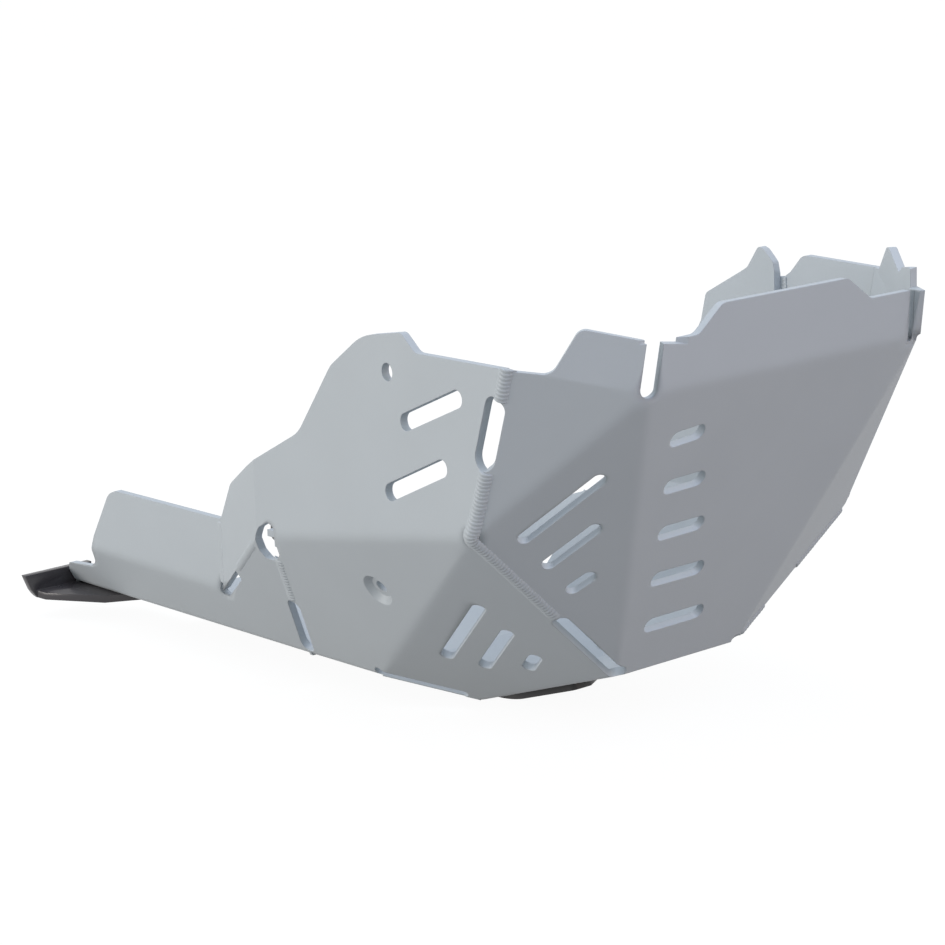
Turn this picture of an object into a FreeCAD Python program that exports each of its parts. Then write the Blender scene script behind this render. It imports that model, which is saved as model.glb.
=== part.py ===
"""Engine guard for a motorbike: three folded aluminium plates welded into one shell, with two steel brackets."""

import FreeCAD, Part, Sketcher
import math
import os
from FreeCAD import Vector

# Frame: +X points to the front wheel, +Y to the rider's left, +Z up.
# The origin lies on the underside of the flat belly, on the middle line.
# Each size is in millimetres or degrees and has one cell in the sheet.
SIZES = {
    # Sheet and bends
    "plate": 4.0,
    "bend_radius": 6.0,
    # Belly, from the rear edge to the toe under the nose
    "belly_width": 150.0,
    "rear_reach": 236.0,
    "seam_behind": 25.0,
    "seam_lean": 17.2,
    "dip_ahead": 31.0,
    "keel_ahead": 73.0,
    "keel_drop": 10.2,
    "toe_ahead": 164.0,
    "toe_rise": 19.6,
    # Shoulders, where mid plate and nose plate spread widest
    "shoulder_ahead": 165.0,
    "right_shoulder_out": 131.0,
    "right_shoulder_rise": 103.5,
    "left_shoulder_out": 120.0,
    "left_shoulder_rise": 73.0,
    # Side walls
    "right_splay": 5.6,
    "left_splay": 1.8,
    "right_cheek_ahead": 194.4,
    "right_cheek_rise": 186.0,
    "left_cheek_ahead": 188.4,
    "left_cheek_rise": 197.6,
    "turn_in_behind": 15.0,
    "turn_in_angle": 21.1,
    # Nose
    "toe_width": 81.4,
    "brow_ahead": 238.3,
    "brow_rise": 173.0,
    "brow_width": 179.0,
    "brow_lean": 6.3,
    # Rear channel
    "wing_fold_rise": 30.0,
    "left_chine_out": 89.3,
    "wing_out": 89.3,
    "wing_rise": 65.5,
    # Left flap, bent inwards beside the engine mount
    "flap_behind": 101.0,
    "flap_length": 26.5,
    "flap_angle": 6.0,
    "flap_foot": 153.0,
    "flap_gap": 1.8,
    # Holes, slots and welds
    "mount_hole": 8.5,
    "side_slot_width": 8.4,
    "cheek_seam_width": 12.4,
    "cheek_seam_shift": 2.4,
    "right_mount_ahead": 104.0,
    "right_mount_rise": 171.6,
    "left_mount_ahead": 84.0,
    "left_mount_rise": 139.0,
    "chin_slot_width": 7.0,
    "front_slot_width": 8.6,
    "seam_slot_width": 9.0,
    "keel_slot_width": 6.0,
    "notch_width": 8.0,
    "corner_relief": 3.5,
    "dish_width": 18.0,
    "dish_depth": 3.0,
    "dish_hole": 6.6,
    "bead_radius": 3.0,
    "bead_sunk": 0.9,
    "strip": 4.6,
    "strip_reach": 50.0,
    "strip_heel": 13.0,
    "strip_width": 54.0,
    "collar_tab": 2.0,
    "collar_tab_lean": 17.0,
    "tab_notch_width": 3.0,
    "tab_relief": 2.5,
    "tack_radius": 2.6,
    # Steel brackets
    "bracket": 4.0,
    "bracket_behind": 4.5,
    "tray_out": 99.5,
    "right_tray_open": 62.0,
    "left_tray_open": 69.0,
    "flange_out": 106.3,
    "flange_rise": 9.5,
}

doc = FreeCAD.newDocument("engine_guard")
sheet = doc.addObject("Spreadsheet::Sheet", "sizes")
for row, (alias, value) in enumerate(SIZES.items(), start=1):
    sheet.set(f"A{row}", alias)
    sheet.set(f"B{row}", str(value))
    sheet.setAlias(f"B{row}", alias)
doc.recompute()


def size(alias):
    """The value of one cell of the sheet."""
    return float(getattr(sheet, alias))


PLATE = size("plate")
FAR = 400.0
RIGHT = -1
LEFT = 1


# Planes are (normal, offset) pairs: a point p lies on one where normal.dot(p) == offset.
def plane_at(normal, point):
    normal = Vector(normal).normalize()
    return normal, normal.dot(Vector(point))


def plane_through(a, b, c, inside):
    """The plane through three points, facing away from a point inside the guard."""
    normal = (b - a).cross(c - a)
    if normal.dot(inside - a) > 0:
        normal = -normal
    return plane_at(normal, a)


def offset_plane(plane, depth):
    """The plane moved inwards by a depth."""
    return plane[0], plane[1] - depth


def turned(plane):
    """The same plane, facing the other way."""
    return -plane[0], -plane[1]


def mitre(first, second):
    """The plane that halves the corner between two faces."""
    normal = first[0] - second[0]
    length = normal.Length
    return normal / length, (first[1] - second[1]) / length


def meet(first, second, third):
    """The point where three planes cross."""
    n1, n2, n3 = first[0], second[0], third[0]
    volume = n1.dot(n2.cross(n3))
    return (n2.cross(n3) * first[1] + n3.cross(n1) * second[1] + n1.cross(n2) * third[1]) / volume


def on_plane(plane, x=None, y=None, z=None):
    """The point of a plane that has two given coordinates."""
    normal, offset = plane
    if x is None:
        return Vector((offset - normal.y * y - normal.z * z) / normal.x, y, z)
    if y is None:
        return Vector(x, (offset - normal.x * x - normal.z * z) / normal.y, z)
    return Vector(x, y, (offset - normal.x * x - normal.y * y) / normal.z)


def outward(solid):
    if solid.Volume < 0:
        solid.reverse()
    return solid


def panel(face, borders, depth=PLATE):
    """One flat panel of sheet: a face, and the planes that border it in order round it."""
    inner = offset_plane(face, depth)
    turns = [(borders[i], borders[(i + 1) % len(borders)]) for i in range(len(borders))]
    outside = [meet(face, a, b) for a, b in turns]
    inside = [meet(inner, a, b) for a, b in turns]
    walls = [Part.Face(Part.makePolygon(ring + ring[:1])) for ring in (outside, inside)]
    for i in range(len(turns)):
        j = (i + 1) % len(turns)
        ring = [outside[i], outside[j], inside[j], inside[i], outside[i]]
        walls.append(Part.Face(Part.makePolygon(ring)))
    return outward(Part.Solid(Part.Shell(walls)))


def bend_tools(first, second, start, end):
    """What a bend takes off the outer corner of a fold, and what it leaves in the inner one."""
    radius = size("bend_radius")
    lean = (first[0] + second[0]) / (1 + first[0].dot(second[0]))
    run = end - start
    tools = []
    for depth, round_radius in ((0.0, radius), (PLATE, radius - PLATE)):
        corner = start - lean * depth
        centre = start - lean * radius
        kite = [corner, centre + first[0] * round_radius, centre, centre + second[0] * round_radius, corner]
        wedge = outward(Part.Face(Part.makePolygon(kite)).extrude(run))
        tools.append(wedge.cut(Part.makeCylinder(round_radius, run.Length, centre, run)))
    return tools


def folded(panels, bends):
    """Panels joined along their mitres, with every fold rounded inside and out."""
    shape = panels[0].fuse(panels[1:]).removeSplitter()
    tools = [bend_tools(*bend) for bend in bends]
    shape = shape.cut([tool[0] for tool in tools])
    return shape.fuse([tool[1] for tool in tools])


def rounded_outline(corners):
    """A closed wire through (point, radius) corners, each rounded by its radius."""
    count = len(corners)
    edges = []
    ends = []
    for i, (point, radius) in enumerate(corners):
        back = (corners[i - 1][0] - point).normalize()
        ahead = (corners[(i + 1) % count][0] - point).normalize()
        half = back.getAngle(ahead) / 2
        if radius == 0 or half > math.radians(89):
            ends.append((point, point))
            continue
        reach = radius / math.tan(half)
        middle = point + (back + ahead).normalize() * (radius / math.sin(half) - radius)
        ends.append((point + back * reach, point + ahead * reach))
        edges.append(Part.Arc(ends[-1][0], middle, ends[-1][1]).toShape())
    for i in range(count):
        start, end = ends[i][1], ends[(i + 1) % count][0]
        if start.distanceToPoint(end) > 1e-6:
            edges.append(Part.LineSegment(start, end).toShape())
    return Part.Wire(Part.__sortEdges__(edges))


def trim_tool(corners, run):
    """A prism with a rounded outline, swept along a run."""
    return outward(Part.Face(rounded_outline(corners)).extrude(run))


# The main points of the guard, from its driving sizes
HALF_BELLY = size("belly_width") / 2
HALF_TOE = size("toe_width") / 2
HALF_BROW = size("brow_width") / 2
INSIDE = Vector(size("keel_ahead"), 0, size("right_shoulder_rise"))
SIDE_NAMES = {RIGHT: "right", LEFT: "left"}


def side_size(side, name):
    return size(f"{SIDE_NAMES[side]}_{name}")


def rotated(x, angle):
    """A unit vector in the ground plane, turned from the X axis."""
    return Vector(x * math.cos(math.radians(angle)), math.sin(math.radians(angle)), 0)


SHOULDER = {
    s: Vector(size("shoulder_ahead"), s * side_size(s, "shoulder_out"), side_size(s, "shoulder_rise"))
    for s in (RIGHT, LEFT)
}
TOE = {s: Vector(size("toe_ahead"), s * HALF_TOE, size("toe_rise")) for s in (RIGHT, LEFT)}
BROW = {s: Vector(size("brow_ahead"), s * HALF_BROW, size("brow_rise")) for s in (RIGHT, LEFT)}
DIP = {s: Vector(size("dip_ahead"), s * HALF_BELLY, 0) for s in (RIGHT, LEFT)}
KEEL = Vector(size("keel_ahead"), 0, -size("keel_drop"))
ACROSS = Vector(0, FAR, 0)

belly = plane_at((0, 0, -1), (0, 0, 0))
dip = plane_through(DIP[RIGHT], DIP[LEFT], KEEL, INSIDE)
chin = plane_through(KEEL, KEEL + ACROSS, TOE[RIGHT], INSIDE)
front = plane_through(TOE[RIGHT], TOE[LEFT], BROW[RIGHT], INSIDE)
lean = math.radians(size("brow_lean"))
brow = plane_at((math.cos(lean), 0, -math.sin(lean)), BROW[RIGHT])
# Borders that aren't folds
seam_tilt = math.radians(size("seam_lean"))
seam = plane_at((math.cos(seam_tilt), 0, -math.sin(seam_tilt)), (-size("seam_behind"), 0, 0))
side_panel = {}
wall = {}
chin_side = {}
chine = {}
cheek = {}
upper_cheek = {}
collar = {}
CHEEK_TOP = {}
for s in (RIGHT, LEFT):
    side_panel[s] = plane_through(DIP[s], DIP[s] - Vector(FAR, 0, 0), SHOULDER[s], INSIDE)
    splay = math.radians(side_size(s, "splay"))
    wall[s] = plane_at((-math.sin(splay), s * math.cos(splay), 0), SHOULDER[s])
    chin_side[s] = plane_through(DIP[s], SHOULDER[s], TOE[s], INSIDE)
    seam_low = meet(belly, side_panel[s], seam)
    seam_high = meet(side_panel[s], seam, plane_at((0, 0, 1), (0, 0, size("wing_rise"))))
    chine_out = size("wing_out") if s == RIGHT else size("left_chine_out")
    fold_rear = Vector(-size("rear_reach"), s * chine_out, size("wing_fold_rise"))
    chine[s] = plane_through(seam_low, seam_high, fold_rear, INSIDE)
    CHEEK_TOP[s] = on_plane(wall[s], x=side_size(s, "cheek_ahead"), z=side_size(s, "cheek_rise"))
    cheek[s] = plane_through(SHOULDER[s], TOE[s], BROW[s], INSIDE)
    upper_cheek[s] = plane_through(SHOULDER[s], CHEEK_TOP[s], BROW[s], INSIDE)
    collar[s] = plane_through(CHEEK_TOP[s], BROW[s], BROW[s] + Vector(0, 0, FAR), INSIDE)

rear = plane_at((-1, 0, 0), (-size("rear_reach"), 0, 0))
SKY = max(size("left_cheek_rise"), size("brow_rise")) + 60
sky = plane_at((0, 0, 1), (0, 0, SKY))

# Right rear wing and the panel that turns in from the wall to meet it
turn_in_line = on_plane(wall[RIGHT], x=-size("turn_in_behind"), z=0)
turn_angle = math.radians(size("turn_in_angle"))
turn_in = plane_at((-math.sin(turn_angle), -math.cos(turn_angle), 0), turn_in_line)
wing = plane_at((0, -1, 0), (0, -size("wing_out"), 0))
wing_top = plane_at((0, 0, 1), (0, 0, size("wing_rise")))


# Long holes of the right side, each given by the two far ends of its outline (x, z)
SIDE_SLOTS = [((113.7, 148.6), (161.5, 168.7)), ((99.5, 113.2), (148.4, 134.8))]
CHIN_SLOTS = [((81.0, 19.8), (132.7, 60.1)), ((96.1, 15.4), (133.0, 44.4)), ((119.2, 17.5), (133.1, 28.5))]
CHEEK_SLOTS = [((175.4, 100.6), (210.4, 133.0)), ((174.6, 85.6), (197.8, 106.7)), ((173.9, 70.9), (185.0, 80.4))]
# Long holes of the front panel (y, z)
FRONT_SLOTS = [
    ((-64.5, 146.4), (-43.1, 148.2)),
    ((-56.8, 121.7), (-30.8, 122.6)),
    ((-48.9, 96.5), (-19.2, 97.3)),
    ((-41.7, 71.1), (-7.0, 71.3)),
    ((-33.9, 44.8), (5.3, 45.1)),
]


def add(kind, name, **properties):
    """A document object; a property given as text is bound by that expression."""
    made = doc.addObject(kind, name)
    for key, value in properties.items():
        if isinstance(value, str):
            made.setExpression(key, value)
        else:
            setattr(made, key, value)
    return made


def slot_tool(name, across, start, end, width):
    """A long hole with round ends from start to end, cut square to the direction across."""
    along = (end - start).normalize()
    up = (across - along * across.dot(along)).normalize()
    reach = (end - start).Length
    radius = size(width) / 2
    outline = add("Sketcher::SketchObject", f"{name}_outline")
    turn = FreeCAD.Rotation(along, up.cross(along), up, "XZY")
    outline.Placement = FreeCAD.Placement(start - up * 20, turn)
    near = Vector(radius, 0, 0)
    far = Vector(reach - radius, 0, 0)
    side = Vector(0, radius, 0)
    axis = Vector(0, 0, 1)
    quarter = math.pi / 2
    outline.addGeometry([
        Part.LineSegment(near - side, far - side),
        Part.ArcOfCircle(Part.Circle(far, axis, radius), -quarter, quarter),
        Part.LineSegment(far + side, near + side),
        Part.ArcOfCircle(Part.Circle(near, axis, radius), quarter, 3 * quarter),
    ])
    link = Sketcher.Constraint
    outline.addConstraint([link("Tangent", i, 2, (i + 1) % 4, 1) for i in range(4)])
    outline.addConstraint([link("Equal", 1, 3), link("PointOnObject", 1, 3, -1), link("PointOnObject", 3, 3, -1)])
    last = outline.addConstraint([
        link("Radius", 1, radius),
        link("DistanceX", -1, 1, 3, 3, radius),
        link("DistanceX", 3, 3, 1, 3, far.x - near.x),
    ])
    for index, label in zip(last, ("end_radius", "first_centre", "between_centres")):
        outline.renameConstraint(index, label)
    outline.setExpression("Constraints.end_radius", f"sizes.{width} / 2")
    outline.setExpression("Constraints.first_centre", f"sizes.{width} / 2")
    outline.setExpression("Constraints.between_centres", f"{reach:.3f} - sizes.{width}")
    return add("Part::Extrusion", name, Base=outline, Dir=up, LengthFwd=40.0, Solid=True)


def seam_slot(name, first, second, start, end, first_share, last_share, width):
    """A slot along the seam of two faces, placed by its share of the way from start to end."""
    run = end - start
    return slot_tool(name, first[0] + second[0], start + run * first_share, start + run * last_share, width)


def hole_tool(name, plane, point, width):
    """A round hole square to a face."""
    turn = FreeCAD.Rotation(Vector(0, 0, 1), plane[0])
    tool = add("Part::Cylinder", name, Radius=f"sizes.{width} / 2", Height=40.0)
    tool.Placement = FreeCAD.Placement(point - plane[0] * 20, turn)
    return tool


def prism_tool(name, corners, run):
    """A rounded outline swept along a run."""
    tool = add("Part::Feature", name)
    tool.Shape = trim_tool(corners, run)
    return tool


def cut_sheet(name, blank, tools):
    """The finished plate: the folded blank without its openings."""
    together = add("Part::MultiFuse", f"{name}_openings", Shapes=tools)
    return add("Part::Cut", name, Base=blank, Tool=together, Refine=True)


def xz(points, y=-FAR / 2):
    return [(Vector(x, y, z), radius) for x, z, radius in points]


def yz(points, x):
    return [(Vector(x, y, z), radius) for y, z, radius in points]


# Rear plate: flat belly between two sloping chines, with an upright wing on the right
left_edge_rear = plane_through(Vector(-200, 0, 15), Vector(-200, FAR, 15), Vector(-80, 0, 31), Vector(0, 0, 0))
left_edge_mid = plane_through(Vector(-80, 0, 31), Vector(-80, FAR, 31), Vector(-14, 0, 54), Vector(0, 0, 0))
chine_r, chine_l = chine[RIGHT], chine[LEFT]
rear_blank = add("Part::Feature", "rear_plate_blank")
rear_blank.Shape = folded(
    [
        panel(belly, [rear, mitre(belly, chine_r), seam, mitre(belly, chine_l)]),
        panel(chine_r, [mitre(chine_r, belly), seam, mitre(chine_r, wall[RIGHT]), mitre(chine_r, turn_in),
                        mitre(chine_r, wing), rear]),
        panel(chine_l, [mitre(chine_l, belly), seam, left_edge_mid, left_edge_rear, rear]),
        panel(wing, [mitre(wing, chine_r), mitre(wing, turn_in), wing_top, rear]),
    ],
    [
        (belly, chine_r, meet(belly, chine_r, rear), meet(belly, chine_r, seam)),
        (belly, chine_l, meet(belly, chine_l, rear), meet(belly, chine_l, seam)),
        (chine_r, wing, meet(chine_r, wing, rear), meet(chine_r, wing, turn_in)),
    ],
)
FOOT = [(-260, 6, 0), (-240, 3, 0), (-231, 13.6, 3), (-207, 15.8, 4), (-199.5, 20, 8), (-192.5, 37, 14), (-176.5, 63, 10),
        (-166, 67, 0), (-166, 90, 0), (-260, 90, 0)]
# Opening in the rear of the belly, wide at the rear edge
TAIL = [(-260, -63, 0), (-222, -63, 4), (-214, -50, 6), (-162, -50, 8), (-162, 50, 8), (-214, 50, 6), (-222, 63, 4),
        (-260, 63, 0)]
# Openings where wing, chine and mid plate come together
SEAM_HOLE = [(-17.5, 71, 2), (-13, 76.5, 2), (-5, 80.5, 2), (0, 79, 2), (1, 76, 2), (-3, 63, 2), (-9, 58.5, 2),
             (-17, 58.5, 2), (-19.5, 63, 2)]
CHINE_HOLE = [(-80.5, 25, 2), (-78.5, 33, 2), (-55, 47.5, 2), (-52.5, 39, 2), (-59, 34.5, 2), (-74, 24.5, 2)]
seam_hole = prism_tool("seam_hole", xz(SEAM_HOLE), ACROSS / 2)
chine_hole = prism_tool("chine_hole", xz(CHINE_HOLE), ACROSS / 2)
foot_trim = prism_tool("foot_trim", xz(FOOT), ACROSS / 2)
tail_opening = prism_tool("tail_opening", [(Vector(x, y, -9), radius) for x, y, radius in TAIL], Vector(0, 0, 14))
side_seam = {}
for s in (RIGHT, LEFT):
    top = meet(chine[s], seam, plane_at((0, 0, 1), (0, 0, 34)))
    low = meet(chine[s], seam, plane_at((0, 0, 1), (0, 0, 2.6)))
    side_seam[s] = (low, top, slot_tool(f"{SIDE_NAMES[s]}_side_slot", chine[s][0], low, top, "seam_slot_width"))
rear_plate = cut_sheet(
    "rear_plate", rear_blank, [foot_trim, tail_opening, seam_hole, chine_hole, side_seam[RIGHT][2], side_seam[LEFT][2]]
)

# Mid plate: belly, dip, chin, side panels and side walls
r, l = RIGHT, LEFT
seam_inset = (seam[0], seam[1] + PLATE / 2)
front_of_wall = {s: mitre(wall[s], upper_cheek[s]) for s in (r, l)}
wall_rear_left = plane_at((-1, 0, 0), (0, 0, 0))
hinge = on_plane(wall[l], x=size("flap_behind"), z=0)
flap_turn = math.radians(size("flap_angle") + size("left_splay"))
flap = plane_at((math.sin(flap_turn), math.cos(flap_turn), 0), hinge)
flap_end = hinge.x + size("flap_length") * math.cos(flap_turn)
flap_front = plane_at((math.cos(flap_turn), -math.sin(flap_turn), 0),
                      hinge + Vector(math.cos(flap_turn), -math.sin(flap_turn), 0) * size("flap_length"))
flap_foot = plane_at((0, 0, -1), (0, 0, size("flap_foot")))
window_foot = plane_at((0, 0, -1), (0, 0, size("flap_foot") - 2))
window_front = plane_at((1, 0, 0), (flap_end + size("flap_gap"), 0, 0))
left_wall = panel(wall[l], [mitre(wall[l], side_panel[l]), front_of_wall[l], sky, wall_rear_left])
window = panel(wall[l], [window_foot, window_front, sky, mitre(wall[l], flap)])
panels = [
    panel(belly, [seam, mitre(belly, side_panel[r]), mitre(belly, dip), mitre(belly, side_panel[l])]),
    panel(dip, [mitre(dip, belly), mitre(dip, chin_side[r]), mitre(dip, chin), mitre(dip, chin_side[l])]),
    panel(chin, [mitre(chin, dip), mitre(chin, chin_side[r]), mitre(chin, front), mitre(chin, chin_side[l])]),
    panel(wall[r], [mitre(wall[r], side_panel[r]), front_of_wall[r], sky, mitre(wall[r], turn_in)]),
    left_wall.cut(window),
    panel(flap, [mitre(flap, wall[l]), flap_foot, flap_front, sky]),
    panel(turn_in, [mitre(turn_in, chine[r]), mitre(turn_in, wall[r]), sky, mitre(turn_in, wing)]),
]
bends = [
    (dip, chin, meet(dip, chin, chin_side[r]), meet(dip, chin, chin_side[l])),
    (wall[r], turn_in, meet(wall[r], turn_in, chine[r]), turn_in_line + Vector(0, 0, SKY)),
]
for s in (r, l):
    e, f, w = side_panel[s], chin_side[s], wall[s]
    panels.append(panel(e, [mitre(e, belly), mitre(e, f), mitre(e, w), seam]))
    panels.append(panel(f, [mitre(f, e), mitre(f, dip), mitre(f, chin), mitre(f, cheek[s])]))
    bends.append((belly, e, meet(belly, e, seam_inset), DIP[s]))
    bends.append((e, f, DIP[s], SHOULDER[s]))
    bends.append((e, w, meet(e, w, seam), SHOULDER[s]))
    bends.append((f, chin, meet(f, chin, dip), TOE[s]))
mid_blank = add("Part::Feature", "mid_plate_blank")
mid_blank.Shape = folded(panels, bends)

RIGHT_TOP = [(-100, 66.5, 0), (-75, 66.5, 3), (-56, 89, 14), (-28, 104, 10), (26.6, 130.8, 25), (57, 168, 22),
             (84, 186, 40), (116, 191.6, 5), (127, 183.5, 7), (260, 187.8, 0), (260, 290, 0), (-100, 290, 0)]
LEFT_TOP = [(-40, 45, 0), (-14, 54, 3), (13.5, 62.5, 8), (68.5, 150, 5), (72.8, 158, 6), (76.3, 172.5, 4),
            (105.5, 188.8, 4), (114.5, 200.6, 3), (119, 199.3, 4), (125.8, 193.6, 3), (127.6, 186.4, 0),
            (129.8, 186.4, 1), (133.5, 189, 3), (141.5, 198.2, 6), (188, 196.6, 0), (230, 196.6, 0), (230, 290, 0),
            (-40, 290, 0)]
right_top_trim = prism_tool("right_top_trim", xz(RIGHT_TOP), ACROSS / 2)
left_top_trim = prism_tool("left_top_trim", xz(LEFT_TOP, 1), ACROSS / 2)
mid_tools = [right_top_trim, left_top_trim, seam_hole, side_seam[r][2], side_seam[l][2]]
for i, ends in enumerate(SIDE_SLOTS):
    start, end = (on_plane(wall[r], x=x, z=z) for x, z in ends)
    mid_tools.append(slot_tool(f"wall_slot_{i + 1}", wall[r][0], start, end, "side_slot_width"))
for i, ends in enumerate(CHIN_SLOTS):
    start, end = (on_plane(chin_side[r], x=x, z=z) for x, z in ends)
    mid_tools.append(slot_tool(f"chin_slot_{i + 1}", chin_side[r][0], start, end, "chin_slot_width"))
mount_r = on_plane(wall[r], x=size("right_mount_ahead"), z=size("right_mount_rise"))
mount_l = on_plane(wall[l], x=size("left_mount_ahead"), z=size("left_mount_rise"))
mid_tools.append(hole_tool("right_mount_hole", wall[r], mount_r, "mount_hole"))
mid_tools.append(hole_tool("left_mount_hole", wall[l], mount_l, "mount_hole"))
nose_tools = []
for s in (r, l):
    word = SIDE_NAMES[s]
    seam_slots = []
    for place, face in (("wall", wall[s]), ("cheek", upper_cheek[s])):
        back = face[0].cross(SHOULDER[s] - CHEEK_TOP[s]).normalize()
        back = back * math.copysign(size("cheek_seam_shift"), -back.x)
        seam_slots.append(seam_slot(f"{word}_{place}_seam_slot", face, face, CHEEK_TOP[s] + back,
                                    SHOULDER[s] + back, 0.18, 0.60, "cheek_seam_width"))
    wall_slot, cheek_slot = seam_slots
    if s == r:
        chin_slot = seam_slot(
            "right_chin_seam_slot", chin_side[s], cheek[s], SHOULDER[s], TOE[s], 0.57, 1.03, "seam_slot_width"
        )
    else:
        outward_toe = (chin_side[s][0] + cheek[s][0] + chin[0] + front[0]).normalize()
        chin_slot = add("Part::Cylinder", "left_toe_relief", Radius="sizes.corner_relief", Height=40.0)
        chin_slot.Placement = FreeCAD.Placement(
            TOE[s] - outward_toe * 20, FreeCAD.Rotation(Vector(0, 0, 1), outward_toe))
    keel_end = meet(chin_side[s], dip, chin)
    along_keel = (keel_end - DIP[s]).normalize()
    up_side = chin_side[s][0].cross(along_keel)
    up_side = up_side * math.copysign(size("keel_slot_width") * 0.43, up_side.z)
    keel_slot = seam_slot(f"{word}_keel_slot", chin_side[s], chin_side[s], DIP[s] + up_side, keel_end + up_side,
                          -0.07, 0.88, "keel_slot_width")
    # A small relief where five folds meet, closed again by the weld
    inner = meet(offset_plane(wall[s], PLATE), offset_plane(side_panel[s], PLATE), offset_plane(cheek[s], PLATE))
    relief = add("Part::Cylinder", f"{word}_shoulder_relief", Radius="sizes.corner_relief", Height=40.0)
    away = (SHOULDER[s] - inner).normalize()
    relief.Placement = FreeCAD.Placement(SHOULDER[s] - away * 20, FreeCAD.Rotation(Vector(0, 0, 1), away))
    mid_tools += [wall_slot, chin_slot, keel_slot, relief]
    nose_tools += [cheek_slot, chin_slot, relief]

# A dish pressed into the right side panel, with a drain hole
dish_place = on_plane(side_panel[r], x=68.5, z=57.6)
dish_turn = FreeCAD.Rotation(Vector(0, 0, 1), -side_panel[r][0])
boss = add("Part::Cone", "dish_boss", Radius1="sizes.dish_width / 2 + 2", Radius2="sizes.dish_width / 2 - 1",
           Height="sizes.plate + sizes.dish_depth - 1")
boss.Placement = FreeCAD.Placement(dish_place - side_panel[r][0] * 1, dish_turn)
dish = add("Part::Cone", "dish_recess", Radius1="sizes.dish_width / 2", Radius2="sizes.dish_width / 2 - 3",
           Height="sizes.dish_depth")
dish.Placement = FreeCAD.Placement(dish_place, dish_turn)
mid_tools += [dish, hole_tool("dish_hole", side_panel[r], dish_place, "dish_hole")]
mid_pressed = add("Part::MultiFuse", "mid_plate_pressed", Shapes=[mid_blank, boss])
mid_plate = cut_sheet("mid_plate", mid_pressed, mid_tools)

# Nose plate: front panel, brow, cheeks and collars
panels = [
    panel(front, [mitre(front, chin), mitre(front, cheek[r]), mitre(front, brow), mitre(front, cheek[l])]),
    panel(brow, [mitre(brow, front), mitre(brow, collar[r]), sky, mitre(brow, collar[l])]),
]
bends = [(front, brow, BROW[r], BROW[l])]
collar_run = {s: Vector(BROW[s].x - CHEEK_TOP[s].x, BROW[s].y - CHEEK_TOP[s].y, 0).normalize() for s in (r, l)}
tab_lean = math.radians(size("collar_tab_lean"))
tab_end = plane_at(collar_run[l] * math.cos(tab_lean) - Vector(0, 0, math.sin(tab_lean)),
                   BROW[l] + collar_run[l] * size("collar_tab"))
for s in (r, l):
    g2, g1, g0 = cheek[s], upper_cheek[s], collar[s]
    panels.append(panel(g2, [mitre(g2, chin_side[s]), mitre(g2, front), mitre(g2, g1)]))
    panels.append(panel(g1, [mitre(g1, wall[s]), mitre(g1, g2), mitre(g1, g0)]))
    collar_end = mitre(g0, brow) if s == r else tab_end
    panels.append(panel(g0, [mitre(g0, g1), collar_end, sky, mitre(g0, wall[s])]))
    bends.append((front, g2, TOE[s], BROW[s]))
    bends.append((g2, g1, SHOULDER[s], BROW[s]))
    bends.append((g1, g0, CHEEK_TOP[s], BROW[s]))
nose_blank = add("Part::Feature", "nose_plate_blank")
nose_blank.Shape = folded(panels, bends)

BROW_TOP = [(-100, 195.5, 0), (-61, 196, 6), (-47, 208.3, 6), (35.5, 208, 6), (52.5, 196.2, 6), (100, 196, 0),
            (100, 290, 0), (-100, 290, 0)]
COLLAR_TOP = {
    r: [(-20, 187.4, 0), (20, 182.6, 7), (32.8, 202.9, 5), (58.7, 197.3, 0), (80, 192.7, 0), (80, 290, 0),
        (-20, 290, 0)],
    l: [(-20, 196.6, 0), (8, 196.7, 3), (22, 211, 5), (40, 200.3, 1.5), (45, 203.6, 3), (56, 205.2, 6),
        (70, 199.5, 3), (74, 180, 0), (90, 180, 0), (90, 290, 0), (-20, 290, 0)],
}
nose_tools.append(prism_tool("brow_top_trim", yz(BROW_TOP, BROW[r].x - 3), Vector(40, 0, 0)))
for s in (r, l):
    outward_of = collar[s][0]
    along = collar_run[s]
    base = Vector(CHEEK_TOP[s].x, CHEEK_TOP[s].y, 0) - outward_of * 14
    corners = [(base + along * u + Vector(0, 0, z), radius) for u, z, radius in COLLAR_TOP[s]]
    nose_tools.append(prism_tool(f"{SIDE_NAMES[s]}_collar_trim", corners, outward_of * 24))
    away = collar[s][0] + brow[0] if s == r else brow[0]
    notch_width = "notch_width" if s == r else "tab_notch_width"
    beside = collar[s] if s == r else offset_plane(collar[s], PLATE + size(notch_width) / 2)
    notch_foot = meet(beside, brow, plane_at((0, 0, 1), (0, 0, BROW[s].z - 2)))
    notch_top = meet(beside, brow, plane_at((0, 0, 1), (0, 0, SKY)))
    nose_tools.append(slot_tool(f"{SIDE_NAMES[s]}_notch", away, notch_foot, notch_top, notch_width))
for i, ends in enumerate(CHEEK_SLOTS):
    start, end = (on_plane(cheek[r], x=x, z=z) for x, z in ends)
    nose_tools.append(slot_tool(f"cheek_slot_{i + 1}", cheek[r][0], start, end, "chin_slot_width"))
for i, ends in enumerate(FRONT_SLOTS):
    start, end = (on_plane(front, y=y, z=z) for y, z in ends)
    nose_tools.append(slot_tool(f"front_slot_{i + 1}", front[0], start, end, "front_slot_width"))
away = collar[l][0] + brow[0]
tab_relief = add("Part::Cylinder", "tab_relief", Radius="sizes.tab_relief", Height=24.0)
tab_relief.Placement = FreeCAD.Placement(BROW[l] - away * 6, FreeCAD.Rotation(Vector(0, 0, 1), away))
nose_tools.append(tab_relief)
nose_cut = cut_sheet("nose_plate_cut", nose_blank, nose_tools)
nose_plate = add("Part::Cut", "nose_plate", Base=nose_cut, Tool=mid_plate)
doc.recompute()

# Hand-laid weld beads in the seams between the plates
plates = add("Part::MultiFuse", "all_plates", Shapes=[rear_plate, mid_plate, nose_plate])


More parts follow.
